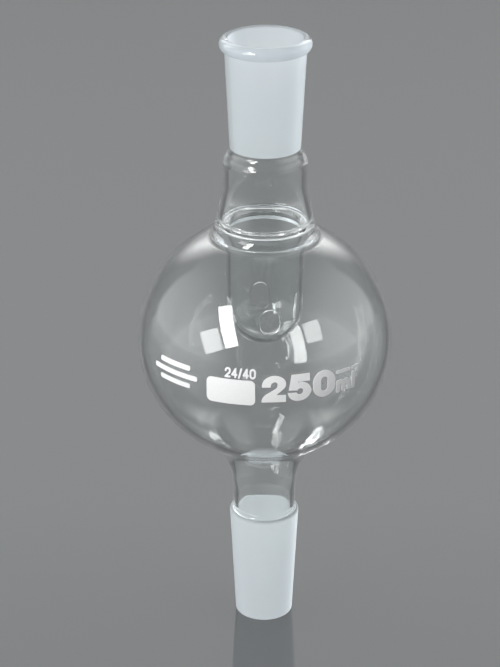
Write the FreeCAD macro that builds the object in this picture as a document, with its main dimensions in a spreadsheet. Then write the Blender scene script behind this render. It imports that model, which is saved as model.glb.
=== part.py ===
import FreeCAD, Part
import math
import os

import Sketcher

# Splash head for a rotary evaporator: a 250 ml glass bulb between a 24/40 ground socket (top) and a 24/40
# ground cone (bottom), with a closed, vented tube hanging inside the bulb from a ring seal.
# Millimetres, +Z up, the origin on the axis at the cone's open lower end. All glass pieces are turned
# about Z and meet on flat weld faces. The bulb is blown in one piece; here it is two halves that meet at
# its waist. The enamel print is on the bulb's front, which faces -Y.

DIMENSIONS = [
    # 24/40 standard taper joint
    ("joint_large_diameter", 24.0, "diameter at the large end of the taper"),
    ("joint_taper", 0.1, "change of diameter for each unit of length"),
    ("joint_length", 40.0, "length of the ground cone"),
    # ground cone
    ("cone_wall", 1.8, "wall of the cone"),
    ("cone_end_round", 0.4, "rounding of the open lower end"),
    ("shoulder_round", 1.2, "convex part of the shoulder above the cone"),
    ("shoulder_fillet", 0.8, "concave part of the shoulder above the cone"),
    ("cone_stub_level", 44.0, "top of the cone's own stub, where the lower neck is welded on"),
    # lower neck and bulb
    ("lower_neck_diameter", 21.5, "outside of the lower neck"),
    ("lower_neck_wall", 1.6, "wall of the lower neck"),
    ("bulb_diameter", 86.0, "outside of the bulb at its waist"),
    ("bulb_half_height", 41.7, "outside half height of the bulb, slightly flattened"),
    ("bulb_level", 106.65, "height of the bulb's centre"),
    ("bulb_wall", 1.8, "wall of the bulb"),
    ("outlet_weld_diameter", 46.0, "outside diameter where the bulb meets its outlet"),
    ("seal_weld_diameter", 39.6, "outside diameter where the bulb meets the ring seal"),
    # ring seal and upper neck
    ("seal_top_level", 150.5, "height where the ring seal meets the upper neck"),
    ("seal_round", 1.5, "bends of the step inside the ring seal"),
    ("seal_gap_level", 147.2, "height where the arch over the gap round the inner tube begins"),
    ("seal_gap_diameter", 29.8, "outside diameter of the gap there"),
    ("seal_arch", 1.05, "radius of the arch over the gap"),
    ("neck_base_diameter", 33.4, "outside diameter where the neck leaves the ring seal's fillet"),
    ("neck_diameter", 28.0, "outside of the upper neck's straight part"),
    ("neck_slope", 12.0, "lean of the neck's conical part, in degrees"),
    ("neck_bend", 18.3, "bend between the neck's conical and straight parts"),
    ("neck_wall", 1.9, "wall of the upper neck"),
    ("neck_shoulder_round", 4.5, "convex part of the shoulder under the socket"),
    ("neck_shoulder_fillet", 2.5, "concave part of the shoulder under the socket"),
    # inner tube
    ("tube_diameter", 25.8, "outside of the inner tube"),
    ("tube_wall", 1.3, "wall of the inner tube"),
    ("tube_round_level", 118.3, "height where the inner tube's round end begins"),
    ("vent_width", 6.4, "width of a vent hole"),
    ("vent_height", 9.0, "height of a vent hole"),
    ("vent_level", 117.0, "height of the vent holes' centres"),
    ("vent_count", 4.0, "vent holes round the tube"),
    ("vent_turn", 8.0, "turn of the first vent hole from the front, in degrees"),
    # ground socket and its rim
    ("socket_foot_level", 174.4, "height where the socket meets the upper neck"),
    ("socket_gauge_level", 209.5, "height of the large end of the socket's taper"),
    ("socket_wall", 1.45, "wall of the socket"),
    ("rim_foot_level", 207.4, "height where the rim's bead meets the socket"),
    ("rim_level", 209.6, "height of the bead's widest part"),
    ("rim_diameter", 30.1, "outside of the bead"),
    ("rim_round", 2.3, "roundness of the bead's section"),
    ("rim_lip_drop", 0.95, "rounding of the mouth's inner edge"),
    # enamel print; places round the bulb are lengths of arc at its waist, from the front towards +X
    ("enamel_thickness", 0.2, "thickness of the print"),
    ("figure_start_arc", -1.3, "place of the first capacity figure's left edge"),
    ("print_base_level", 102.9, "foot of the capacity figures"),
    ("figure_width", 7.9, "width of a capacity figure"),
    ("figure_height", 9.3, "height of a capacity figure"),
    ("figure_gap", 0.6, "gap between capacity figures"),
    ("unit_width", 5.8, "width of the unit's wide letter"),
    ("unit_height", 4.7, "height of the unit's low letter"),
    ("unit_rise", 6.4, "height of the unit's tall letter"),
    ("unit_stroke", 1.4, "line width of the unit's letters"),
    ("small_start_arc", -13.45, "place of the first joint size figure's left edge"),
    ("small_width", 2.05, "width of a joint size figure"),
    ("slash_width", 1.3, "width of the stroke between the joint size figures"),
    ("small_height", 3.35, "height of a joint size figure"),
    ("small_gap", 0.2, "gap between joint size figures"),
    ("small_stroke", 0.6, "line width of the joint size figures"),
    ("small_base_level", 111.05, "foot of the joint size figures"),
    ("spot_arc", -11.5, "place of the marking spot's centre"),
    ("spot_width", 16.2, "width of the marking spot"),
    ("spot_height", 8.8, "height of the marking spot"),
    ("spot_base_level", 101.65, "foot of the marking spot"),
    ("spot_corner", 1.7, "corner radius of the marking spot"),
    ("bar_arc", -32.7, "place of the centre of the bars in the maker's place"),
    ("bar_height", 1.7, "height of a bar in the maker's place"),
    ("bar_pitch", 3.1, "spacing of the bars in the maker's place"),
    ("bar_length", 19.0, "length of a bar in the maker's place"),
    ("bar_base_level", 104.2, "foot of the lowest bar in the maker's place"),
    ("dash_height", 1.1, "height of the dashes in the grade's place"),
    ("dash_base_level", 109.8, "foot of the dashes in the grade's place"),
]

doc = FreeCAD.newDocument("SplashHead")
size = doc.addObject("Spreadsheet::Sheet", "Size")
for row, (alias, number, meaning) in enumerate(DIMENSIONS, start=1):
    size.set(f"A{row}", alias)
    size.set(f"B{row}", str(number))
    size.set(f"C{row}", meaning)
    size.setAlias(f"B{row}", alias)
doc.recompute()


def value(expression):
    """The number that an expression on the sheet has now."""
    return float(size.evalExpression(str(expression)))


# ---- expressions that several pieces share -------------------------------------------------------------

def half(alias):
    return f"(Size.{alias} / 2)"


def cone_radius(level):
    """Outside radius of the ground cone at a height."""
    return f"((Size.joint_large_diameter - Size.joint_taper * (Size.joint_length - {level})) / 2)"


def bore_radius(level):
    """Radius of the socket's ground bore at a height."""
    return f"((Size.joint_large_diameter - Size.joint_taper * (Size.socket_gauge_level - {level})) / 2)"


def s_angle(inset, first, second):
    """Turn of each of two opposed bends that together move a wall inwards by inset."""
    return f"acos(1 - ({inset}) / ({first} + {second}))"


class Spheroid:
    """The bulb's outside or inside surface, as expressions."""

    def __init__(self, inset):
        self.girth = f"(Size.bulb_diameter / 2 - {inset})"
        self.half_height = f"(Size.bulb_half_height - {inset})"

    def rise(self, radius):
        """Height above or below the bulb's centre where the surface has this radius."""
        return f"({self.half_height} * sqrt(1 - ({radius} / {self.girth})^2))"

    def radius(self, rise):
        """Radius of the surface at this height above or below the bulb's centre."""
        return f"({self.girth} * sqrt(1 - ({rise} / {self.half_height})^2))"

    def slope(self, radius, rise):
        """Angle of the surface from the vertical."""
        return f"atan(({self.girth} / {self.half_height})^2 * {rise} / {radius})"


OUTSIDE = Spheroid("0")
INSIDE = Spheroid("Size.bulb_wall")

OUTLET_OUTER = half("outlet_weld_diameter")
OUTLET_RISE = OUTSIDE.rise(OUTLET_OUTER)
OUTLET_INNER = INSIDE.radius(OUTLET_RISE)
OUTLET_LEVEL = f"(Size.bulb_level - {OUTLET_RISE})"

SEAL_OUTER = half("seal_weld_diameter")
SEAL_RISE = OUTSIDE.rise(SEAL_OUTER)
SEAL_INNER = INSIDE.radius(SEAL_RISE)
SEAL_LEVEL = f"(Size.bulb_level + {SEAL_RISE})"

TUBE_OUTER = half("tube_diameter")
TUBE_INNER = f"({TUBE_OUTER} - Size.tube_wall)"
LOWER_NECK_OUTER = half("lower_neck_diameter")
LOWER_NECK_INNER = f"({LOWER_NECK_OUTER} - Size.lower_neck_wall)"

# the fillet from the bulb up into the neck, tangent to both
NECK_BASE = half("neck_base_diameter")
SEAL_SLOPE = OUTSIDE.slope(SEAL_OUTER, SEAL_RISE)
LEAN = "(Size.neck_slope * 1 deg)"
SEAL_FILLET = f"(({SEAL_OUTER} - {NECK_BASE}) / (cos({LEAN}) - cos({SEAL_SLOPE})))"
NECK_BASE_LEVEL = f"({SEAL_LEVEL} + {SEAL_FILLET} * (sin({SEAL_SLOPE}) - sin({LEAN})))"
SEAL_TOP_OUTER = f"({NECK_BASE} - (Size.seal_top_level - {NECK_BASE_LEVEL}) * tan({LEAN}))"
SEAL_TOP_INNER = f"({SEAL_TOP_OUTER} - Size.neck_wall / cos({LEAN}))"


# ---- sketches ------------------------------------------------------------------------------------------

def convex(radius):
    """A bend that bulges out of the piece."""
    return (1, radius)


def concave(radius):
    """A bend that is hollowed into the piece."""
    return (-1, radius)


def bend_middle(start, end, side, radius):
    """Middle point of the shorter arc of this radius from start to end, centred left (1) or right (-1)."""
    chord = end.sub(start)
    offset = math.sqrt(max(radius ** 2 - (chord.Length / 2) ** 2, 0.0))
    normal = FreeCAD.Vector(-chord.y, chord.x, 0).normalize()
    middle = (start + end) * 0.5
    centre = middle + normal * (offset * side)
    return centre - normal * (radius * side)


def on_axis(expression):
    return abs(value(expression)) < 1e-9


def draw_outline(body, name, corners):
    """A closed, fully constrained sketch on the body's XZ plane.

    Each corner is (x, z) or (x, z, bend), as expressions, in anticlockwise order; the bend belongs to the
    edge that leaves the corner.
    """
    plane = next(item for item in body.Origin.OriginFeatures if item.Role == "XZ_Plane")
    sketch = body.newObject("Sketcher::SketchObject", name)
    sketch.AttachmentSupport = [(plane, "")]
    sketch.MapMode = "FlatFace"
    points = [FreeCAD.Vector(value(corner[0]), value(corner[1]), 0) for corner in corners]
    starts = []
    ends = []
    for index, corner in enumerate(corners):
        start = points[index]
        end = points[(index + 1) % len(points)]
        if len(corner) == 2:
            edge = sketch.addGeometry(Part.LineSegment(start, end), False)
            forward = True
        else:
            side, radius = corner[2]
            middle = bend_middle(start, end, side, value(radius))
            edge = sketch.addGeometry(Part.Arc(start, middle, end), False)
            forward = sketch.getPoint(edge, 1).isEqual(start, 1e-5)
        starts.append((edge, 1 if forward else 2))
        ends.append((edge, 2 if forward else 1))
    for index in range(len(corners)):
        following = starts[(index + 1) % len(corners)]
        sketch.addConstraint(Sketcher.Constraint("Coincident", *ends[index], *following))
    for index, corner in enumerate(corners):
        edge, point = starts[index]
        places = ((0, "DistanceX", -2, corner[0]), (1, "DistanceY", -1, corner[1]))
        for axis, kind, line, expression in places:
            if on_axis(expression):
                sketch.addConstraint(Sketcher.Constraint("PointOnObject", edge, point, line))
                continue
            given = points[index][axis]
            number = sketch.addConstraint(Sketcher.Constraint(kind, -1, 1, edge, point, given))
            sketch.renameConstraint(number, f"{kind}{index}")
            sketch.setExpression(f"Constraints.{kind}{index}", str(expression))
        if len(corner) == 3:
            radius = corner[2][1]
            number = sketch.addConstraint(Sketcher.Constraint("Radius", edge, value(radius)))
            sketch.renameConstraint(number, f"Bend{index}")
            sketch.setExpression(f"Constraints.Bend{index}", str(radius))
    return sketch


def turned(label, corners):
    """A body turned about Z from one outline."""
    body = doc.addObject("PartDesign::Body", label)
    body.Label = label
    sketch = draw_outline(body, f"{label}_outline", corners)
    turn = body.newObject("PartDesign::Revolution", f"{label}_turn")
    turn.Profile = sketch
    turn.ReferenceAxis = (sketch, ["V_Axis"])
    turn.Angle = 360.0
    doc.recompute()
    return body


# ---- glass pieces --------------------------------------------------------------------------------------

def ground_cone():
    round_end = "Size.cone_end_round"
    inset = f"{cone_radius('Size.joint_length')} - {LOWER_NECK_OUTER}"
    turn = s_angle(inset, "Size.shoulder_round", "Size.shoulder_fillet")
    outer_middle = f"{cone_radius('Size.joint_length')} - Size.shoulder_round * (1 - cos({turn}))"
    outer_middle_level = f"Size.joint_length + Size.shoulder_round * sin({turn})"
    outer_end_level = f"Size.joint_length + (Size.shoulder_round + Size.shoulder_fillet) * sin({turn})"
    bore_top = f"({cone_radius('Size.joint_length')} - Size.cone_wall)"
    waist = "(Size.shoulder_round + Size.shoulder_fillet)"
    bore_turn = s_angle(f"{bore_top} - {LOWER_NECK_INNER}", waist, waist)
    bore_middle = f"({bore_top} + {LOWER_NECK_INNER}) / 2"
    bore_middle_level = f"Size.joint_length + {waist} * sin({bore_turn})"
    bore_end_level = f"Size.joint_length + 2 * {waist} * sin({bore_turn})"
    bore_foot = f"({cone_radius(round_end)} - Size.cone_wall)"
    return turned("ground_cone", [
        (f"{bore_foot} + {round_end}", "0"),
        (f"{cone_radius('0')} - {round_end}", "0", convex(round_end)),
        (cone_radius(round_end), round_end),
        (cone_radius("Size.joint_length"), "Size.joint_length", convex("Size.shoulder_round")),
        (outer_middle, outer_middle_level, concave("Size.shoulder_fillet")),
        (LOWER_NECK_OUTER, outer_end_level),
        (LOWER_NECK_OUTER, "Size.cone_stub_level"),
        (LOWER_NECK_INNER, "Size.cone_stub_level"),
        (LOWER_NECK_INNER, bore_end_level, convex(waist)),
        (bore_middle, bore_middle_level, concave(waist)),
        (bore_top, "Size.joint_length"),
        (bore_foot, round_end, convex(round_end)),
    ])


def lower_neck(top_level):
    return turned("lower_neck", [
        (LOWER_NECK_INNER, "Size.cone_stub_level"),
        (LOWER_NECK_OUTER, "Size.cone_stub_level"),
        (LOWER_NECK_OUTER, top_level),
        (LOWER_NECK_INNER, top_level),
    ])


def flare(surface, weld_radius, tube_radius):
    """Radius and foot of the fillet that leaves a tube and meets the bulb's surface, tangent to both."""
    slope = surface.slope(weld_radius, OUTLET_RISE)
    radius = f"(({weld_radius} - {tube_radius}) / (1 - cos({slope})))"
    foot = f"({OUTLET_LEVEL} - {radius} * sin({slope}))"
    return radius, foot


def bulb_outlet(outer_flare, inner_flare):
    outer_radius, outer_foot = outer_flare
    inner_radius, inner_foot = inner_flare
    return turned("bulb_outlet", [
        (LOWER_NECK_INNER, outer_foot),
        (LOWER_NECK_OUTER, outer_foot, concave(outer_radius)),
        (OUTLET_OUTER, OUTLET_LEVEL),
        (OUTLET_INNER, OUTLET_LEVEL, convex(inner_radius)),
        (LOWER_NECK_INNER, inner_foot),
    ])


def bulb_half(label, first_angle, last_angle):
    """Half of the blown bulb: a spheroid shell cut flat at its waist and at its weld face."""
    body = doc.addObject("PartDesign::Body", label)
    body.Label = label
    outside = body.newObject("PartDesign::AdditiveEllipsoid", f"{label}_outside")
    outside.setExpression("Angle1", first_angle)
    outside.setExpression("Angle2", last_angle)
    inside = body.newObject("PartDesign::SubtractiveEllipsoid", f"{label}_inside")
    for feature, surface in ((outside, OUTSIDE), (inside, INSIDE)):
        feature.setExpression("Radius1", surface.half_height)
        feature.setExpression("Radius2", surface.girth)
        feature.setExpression("Radius3", surface.girth)
        feature.setExpression("Placement.Base.z", "Size.bulb_level")
    doc.recompute()
    return body


def ring_seal():
    turn = s_angle(f"{SEAL_TOP_INNER} - {TUBE_INNER}", "Size.seal_round", "Size.seal_round")
    step_middle = f"({SEAL_TOP_INNER} + {TUBE_INNER}) / 2"
    step_middle_level = f"Size.seal_top_level - Size.seal_round * sin({turn})"
    step_end_level = f"Size.seal_top_level - 2 * Size.seal_round * sin({turn})"
    return turned("ring_seal", [
        (SEAL_INNER, SEAL_LEVEL),
        (SEAL_OUTER, SEAL_LEVEL, concave(SEAL_FILLET)),
        (NECK_BASE, NECK_BASE_LEVEL),
        (SEAL_TOP_OUTER, "Size.seal_top_level"),
        (SEAL_TOP_INNER, "Size.seal_top_level", concave("Size.seal_round")),
        (step_middle, step_middle_level, convex("Size.seal_round")),
        (TUBE_INNER, step_end_level),
        (TUBE_INNER, SEAL_LEVEL),
        (TUBE_OUTER, SEAL_LEVEL),
        (TUBE_OUTER, "Size.seal_gap_level", concave("Size.seal_arch")),
        (half("seal_gap_diameter"), "Size.seal_gap_level"),
    ])


def inner_tube():
    """A straight tube with a hemispherical end, and oval vent holes round the top of that end."""
    body = turned("inner_tube", [
        ("0", f"Size.tube_round_level - {TUBE_OUTER}", convex(TUBE_OUTER)),
        (TUBE_OUTER, "Size.tube_round_level"),
        (TUBE_OUTER, SEAL_LEVEL),
        (TUBE_INNER, SEAL_LEVEL),
        (TUBE_INNER, "Size.tube_round_level", concave(TUBE_INNER)),
        ("0", f"Size.tube_round_level - {TUBE_INNER}"),
    ])
    whole = body.Shape.Volume
    side = half("vent_width")
    straight = "(Size.vent_height - Size.vent_width) / 2"
    sketch = draw_outline(body, "vent_outline", [
        ("0", "Size.vent_level - Size.vent_height / 2", convex(side)),
        (side, f"Size.vent_level - {straight}"),
        (side, f"Size.vent_level + {straight}", convex(side)),
        ("0", "Size.vent_level + Size.vent_height / 2", convex(side)),
        (f"-{side}", f"Size.vent_level + {straight}"),
        (f"-{side}", f"Size.vent_level - {straight}", convex(side)),
    ])
    vent = body.newObject("PartDesign::Pocket", "vent")
    vent.Profile = sketch
    vent.Type = "Length"
    vent.setExpression("Length", "Size.tube_diameter")
    vent.Reversed = True
    doc.recompute()
    ring = body.newObject("PartDesign::PolarPattern", "vents")
    ring.Originals = [vent]
    ring.Axis = (sketch, ["V_Axis"])
    ring.Angle = 360.0
    ring.setExpression("Occurrences", "Size.vent_count")
    body.Tip = ring
    body.Placement.Rotation.Axis = FreeCAD.Vector(0, 0, 1)
    body.setExpression("Placement.Rotation.Angle", "Size.vent_turn * 1 deg")
    doc.recompute()
    print("vent holes remove", round(whole - body.Shape.Volume, 1), "mm3")
    return body


def upper_neck():
    """The clear tube between the ring seal and the socket: conical, then straight, then a shoulder."""
    outer = half("neck_diameter")
    inner = f"({outer} - Size.neck_wall)"
    inner_bend = "(Size.neck_bend + Size.neck_wall)"
    bend_start = f"({outer} + Size.neck_bend * (1 - cos({LEAN})))"
    bend_start_level = f"({NECK_BASE_LEVEL} + ({NECK_BASE} - {bend_start}) / tan({LEAN}))"
    bend_end_level = f"({bend_start_level} + Size.neck_bend * sin({LEAN}))"
    inner_start = f"({inner} + {inner_bend} * (1 - cos({LEAN})))"
    inner_start_level = f"({bend_end_level} - {inner_bend} * sin({LEAN}))"
    foot_inner = bore_radius("Size.socket_foot_level")
    foot_outer = f"({foot_inner} + Size.socket_wall)"
    first = "Size.neck_shoulder_round"
    second = "Size.neck_shoulder_fillet"
    inner_first = "(Size.neck_shoulder_round - Size.neck_wall)"
    inner_second = "(Size.neck_shoulder_fillet + Size.socket_wall)"
    turn = s_angle(f"{outer} - {foot_outer}", first, second)
    inner_turn = s_angle(f"{inner} - {foot_inner}", inner_first, inner_second)
    shoulder_level = f"(Size.socket_foot_level - ({first} + {second}) * sin({turn}))"
    inner_level = f"(Size.socket_foot_level - ({inner_first} + {inner_second}) * sin({inner_turn}))"
    return turned("upper_neck", [
        (SEAL_TOP_INNER, "Size.seal_top_level"),
        (SEAL_TOP_OUTER, "Size.seal_top_level"),
        (bend_start, bend_start_level, concave("Size.neck_bend")),
        (outer, bend_end_level),
        (outer, shoulder_level, convex(first)),
        (f"{outer} - {first} * (1 - cos({turn}))", f"{shoulder_level} + {first} * sin({turn})",
         concave(second)),
        (foot_outer, "Size.socket_foot_level"),
        (foot_inner, "Size.socket_foot_level", convex(inner_second)),
        (f"{inner} - {inner_first} * (1 - cos({inner_turn}))",
         f"{inner_level} + {inner_first} * sin({inner_turn})", concave(inner_first)),
        (inner, inner_level),
        (inner, bend_end_level, convex(inner_bend)),
        (inner_start, inner_start_level),
    ])


def ground_socket():
    foot = "Size.socket_foot_level"
    top = "Size.rim_foot_level"
    return turned("ground_socket", [
        (bore_radius(foot), foot),
        (f"{bore_radius(foot)} + Size.socket_wall", foot),
        (f"{bore_radius(top)} + Size.socket_wall", top),
        (bore_radius(top), top),
    ])


def socket_rim():
    """The fire-polished bead round the mouth."""
    foot = "Size.rim_foot_level"
    middle = f"{half('rim_diameter')} - Size.rim_round"
    top = "(Size.rim_level + Size.rim_round)"
    lip = f"({top} - Size.rim_lip_drop)"
    return turned("socket_rim", [
        (bore_radius(foot), foot),
        (f"{bore_radius(foot)} + Size.socket_wall", foot, convex("Size.rim_round")),
        (half("rim_diameter"), "Size.rim_level", convex("Size.rim_round")),
        (middle, top, convex("Size.rim_lip_drop")),
        (bore_radius(lip), lip),
    ])


# ---- enamel print --------------------------------------------------------------------------------------

# Outlines of the heavy capacity figures and centre lines of the light letters, all in a unit box. A path is
# a start point, then points that a straight line reaches, or pairs of points that an arc passes and reaches.
OUTLINES = {
    "2": [[(0.0, 0.0), (1.0, 0.0), (1.0, 0.27), (0.6, 0.28), (0.89, 0.5), ((1.0, 0.71), (0.86, 0.91)),
           ((0.54, 1.0), (0.17, 0.89)), ((0.05, 0.76), (0.02, 0.58)), (0.38, 0.58),
           ((0.42, 0.72), (0.52, 0.77)), ((0.63, 0.74), (0.65, 0.65)), ((0.62, 0.56), (0.51, 0.48)),
           (0.18, 0.3), ((0.05, 0.17), (0.0, 0.0))]],
    "5": [[(0.16, 1.0), (0.93, 1.0), (0.93, 0.73), (0.43, 0.73), (0.41, 0.68), ((0.81, 0.64), (1.0, 0.36)),
           ((0.83, 0.1), (0.49, 0.0)), ((0.14, 0.09), (0.0, 0.33)), (0.37, 0.32),
           ((0.42, 0.265), (0.5, 0.25)), ((0.61, 0.28), (0.64, 0.36)), ((0.61, 0.45), (0.52, 0.48)),
           ((0.44, 0.46), (0.4, 0.41)), (0.04, 0.43), (0.16, 1.0)]],
    "0": [[(0.0, 0.5), ((0.13, 0.87), (0.5, 1.0)), ((0.87, 0.87), (1.0, 0.5)), ((0.87, 0.13), (0.5, 0.0)),
           ((0.13, 0.13), (0.0, 0.5))],
          [(0.345, 0.366), (0.345, 0.634), ((0.5, 0.77), (0.655, 0.634)), (0.655, 0.366),
           ((0.5, 0.23), (0.345, 0.366))]],
}
STROKES = {
    "2": [[(0.0, 0.72), ((0.5, 1.0), (1.0, 0.7)), ((0.9, 0.5), (0.72, 0.4)), (0.0, 0.0), (1.0, 0.0)]],
    "0": [[(0.0, 0.3), ((0.5, 0.0), (1.0, 0.3)), (1.0, 0.7), ((0.5, 1.0), (0.0, 0.7)), (0.0, 0.3)]],
    "4": [[(0.72, 0.0), (0.72, 1.0)], [(0.72, 1.0), (0.0, 0.28), (1.0, 0.28)]],
    "/": [[(0.0, -0.06), (1.0, 1.0)]],
    "m": [[(0.0, 0.0), (0.0, 1.0)],
          [(0.0, 0.72), ((0.25, 1.0), (0.5, 0.72)), (0.5, 0.0)],
          [(0.5, 0.72), ((0.75, 1.0), (1.0, 0.72)), (1.0, 0.0)]],
    "l": [[(0.5, 0.0), (0.5, 1.0)]],
}


def path_wire(path, width, height, corner):
    """A wire along a path whose unit box becomes this wide and high, with its lower left corner there."""

    def place(point):
        return corner + FreeCAD.Vector(point[0] * width, 0, point[1] * height)

    here = place(path[0])
    edges = []
    for target in path[1:]:
        if isinstance(target[0], tuple):
            passing, there = place(target[0]), place(target[1])
            edges.append(Part.Arc(here, passing, there).toShape())
        else:
            there = place(target)
            edges.append(Part.LineSegment(here, there).toShape())
        here = there
    return Part.Wire(edges)


def straight_face(start, end, line):
    """A straight stroke with round ends, as a flat face."""
    along = (end - start).normalize() * (line / 2)
    across = FreeCAD.Vector(-along.z, 0, along.x)
    edges = [
        Part.LineSegment(start - across, end - across),
        Part.Arc(end - across, end + along, end + across),
        Part.LineSegment(end + across, start + across),
        Part.Arc(start + across, start - along, start - across),
    ]
    return Part.Face(Part.Wire([edge.toShape() for edge in edges]))


def stroke_face(stroke, width, height, line, level):
    """One stroke of a letter as a flat face, standing on a level and centred on x = 0."""
    corner = FreeCAD.Vector((line - width) / 2, 0, level + line / 2)
    wire = path_wire(stroke, width - line, height - line, corner)
    if wire.isClosed():
        around = wire.makeOffset2D(line / 2, fill=False)
        within = wire.makeOffset2D(-line / 2, fill=False)
        return Part.Face(around).cut(Part.Face(within))
    if len(stroke) == 2:
        return straight_face(wire.Vertexes[0].Point, wire.Vertexes[-1].Point, line)
    return wire.makeOffset2D(line / 2, fill=True)


def outline_face(character, width, height, level):
    """One heavy figure as a flat face, standing on a level and centred on x = 0."""
    corner = FreeCAD.Vector(-width / 2, 0, level)
    outside, *holes = [Part.Face(path_wire(path, width, height, corner)) for path in OUTLINES[character]]
    for hole in holes:
        outside = outside.cut(hole)
    return outside


def raised(faces, arc):
    """Flat faces as one solid that reaches out through the bulb's wall, at its place round the bulb."""
    reach = value(OUTSIDE.girth) + value("Size.bulb_wall")
    solids = [face.extrude(FreeCAD.Vector(0, -reach, 0)) for face in faces]
    solid = solids[0]
    for part in solids[1:]:
        solid = solid.fuse(part).removeSplitter()
    turn = math.degrees(arc / value(OUTSIDE.girth))
    solid.rotate(FreeCAD.Vector(0, 0, 0), FreeCAD.Vector(0, 0, 1), turn)
    return solid


def letter_prism(character, width, height, line, level, left):
    """One light letter, with its left edge at a place round the bulb."""
    faces = [stroke_face(stroke, width, height, line, level) for stroke in STROKES[character]]
    return raised(faces, left + width / 2)


def bar_prism(length, height, corner, level, arc):
    """A plain bar with round corners, reaching out through the bulb's wall at its place round the bulb."""
    reach = value(OUTSIDE.girth) + value("Size.bulb_wall")
    box = Part.makeBox(length, reach, height, FreeCAD.Vector(-length / 2, -reach, level))
    along_y = [edge for edge in box.Edges if abs(edge.tangentAt(edge.FirstParameter).y) > 0.99]
    solid = box.makeFillet(corner, along_y)
    turn = math.degrees(arc / value(OUTSIDE.girth))
    solid.rotate(FreeCAD.Vector(0, 0, 0), FreeCAD.Vector(0, 0, 1), turn)
    return solid


def enamel_skin():
    """A thin skin over the bulb, from which each print is cut."""
    outer = doc.addObject("Part::Ellipsoid", "skin_outside")
    inner = doc.addObject("Part::Ellipsoid", "skin_inside")
    for feature, extra in ((outer, " + Size.enamel_thickness"), (inner, "")):
        feature.setExpression("Radius1", OUTSIDE.half_height + extra)
        feature.setExpression("Radius2", OUTSIDE.girth + extra)
        feature.setExpression("Radius3", OUTSIDE.girth + extra)
        feature.setExpression("Placement.Base.z", "Size.bulb_level")
    skin = doc.addObject("Part::Cut", "enamel_skin")
    skin.Base = outer
    skin.Tool = inner
    return skin


def print_mark(label, skin, prisms):
    """The part of the skin that the prisms cover."""
    pen = doc.addObject("Part::Feature", f"{label}_pen")
    pen.Shape = Part.makeCompound(prisms)
    mark = doc.addObject("Part::Common", label)
    mark.Label = label
    mark.Base = skin
    mark.Tool = pen
    return mark


def capacity_mark(skin):
    """The capacity, 250 ml."""
    width, gap = value("Size.figure_width"), value("Size.figure_gap")
    level, line = value("Size.print_base_level"), value("Size.unit_stroke")
    left = value("Size.figure_start_arc")
    prisms = []
    for figure in "250":
        face = outline_face(figure, width, value("Size.figure_height"), level)
        prisms.append(raised([face], left + width / 2))
        left += width + gap
    unit_width, unit_height = value("Size.unit_width"), value("Size.unit_height")
    prisms.append(letter_prism("m", unit_width, unit_height, line, level, left))
    prisms.append(letter_prism("l", line, value("Size.unit_rise"), line, level, left + unit_width + gap))
    return print_mark("capacity_mark", skin, prisms)


def joint_size_mark(skin):
    """The joint size, over the right part of the marking spot."""
    left, gap = value("Size.small_start_arc"), value("Size.small_gap")
    prisms = []
    for character in "24/40":
        width = value("Size.slash_width" if character == "/" else "Size.small_width")
        prisms.append(letter_prism(character, width, value("Size.small_height"), value("Size.small_stroke"),
                                   value("Size.small_base_level"), left))
        left += width + gap
    return print_mark("joint_size_mark", skin, prisms)


def marking_spot(skin):
    """The blank field that is written on with a pencil."""
    prism = bar_prism(value("Size.spot_width"), value("Size.spot_height"), value("Size.spot_corner"),
                      value("Size.spot_base_level"), value("Size.spot_arc"))
    return print_mark("marking_spot", skin, [prism])


def maker_bars(skin):
    """Three plain bars, the lowest and the highest shorter than the middle one."""
    centre = value("Size.bar_arc")
    height, length = value("Size.bar_height"), value("Size.bar_length")
    prisms = []
    for place, share in enumerate((0.7, 1.0, 0.7)):
        level = value("Size.bar_base_level") + place * value("Size.bar_pitch")
        prisms.append(bar_prism(length * share, height, height / 3, level, centre))
    return print_mark("maker_bars", skin, prisms)


def grade_dashes(skin):
    """A long and a short dash over the unit."""
    height, level = value("Size.dash_height"), value("Size.dash_base_level")
    unit = value("Size.unit_width")
    figures = 3 * (value("Size.figure_width") + value("Size.figure_gap"))
    start = value("Size.figure_start_arc") + figures
    prisms = [bar_prism(unit, height, height / 3, level, start + unit / 2),
              bar_prism(unit / 2, height, height / 3, level, start + unit * 1.4)]
    return print_mark("grade_dashes", skin, prisms)


# ---- build, check and write ----------------------------------------------------------------------------

outer_flare = flare(OUTSIDE, OUTLET_OUTER, LOWER_NECK_OUTER)
inner_flare = flare(INSIDE, OUTLET_INNER, LOWER_NECK_INNER)
pieces = [
    ground_cone(),
    lower_neck(outer_flare[1]),
    bulb_outlet(outer_flare, inner_flare),
    bulb_half("bulb_lower", f"-acos({OUTLET_OUTER} / {OUTSIDE.girth})", "0 deg"),
    bulb_half("bulb_upper", "0 deg", f"acos({SEAL_OUTER} / {OUTSIDE.girth})"),
    ring_seal(),
    inner_tube(),
    upper_neck(),
    ground_socket(),
    socket_rim(),
]
skin = enamel_skin()
pieces += [
    marking_spot(skin),
    joint_size_mark(skin),
    capacity_mark(skin),
    maker_bars(skin),
    grade_dashes(skin),
]
doc.recompute()

for item in doc.Objects:
    if "Invalid" in item.State or "Error" in item.State:
        raise RuntimeError(f"{item.Label} failed: {item.State}")
for piece in pieces:
    if piece.Shape.isNull() or not piece.Shape.isValid():
        raise RuntimeError(f"{piece.Label} has no valid shape")

os.makedirs("parts", exist_ok=True)
for piece in pieces:
    piece.Shape.exportStep(f"parts/{piece.Label}.step")
    box = piece.Shape.optimalBoundingBox(True, False)
    print(f"{piece.Label:16s} solids {len(piece.Shape.Solids)}  volume {piece.Shape.Volume:9.1f}  "
          f"z {box.ZMin:7.2f} to {box.ZMax:7.2f}  r {max(box.XMax, box.YMax):6.2f}")
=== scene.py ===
import math

import bpy
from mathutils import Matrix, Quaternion, Vector


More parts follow.
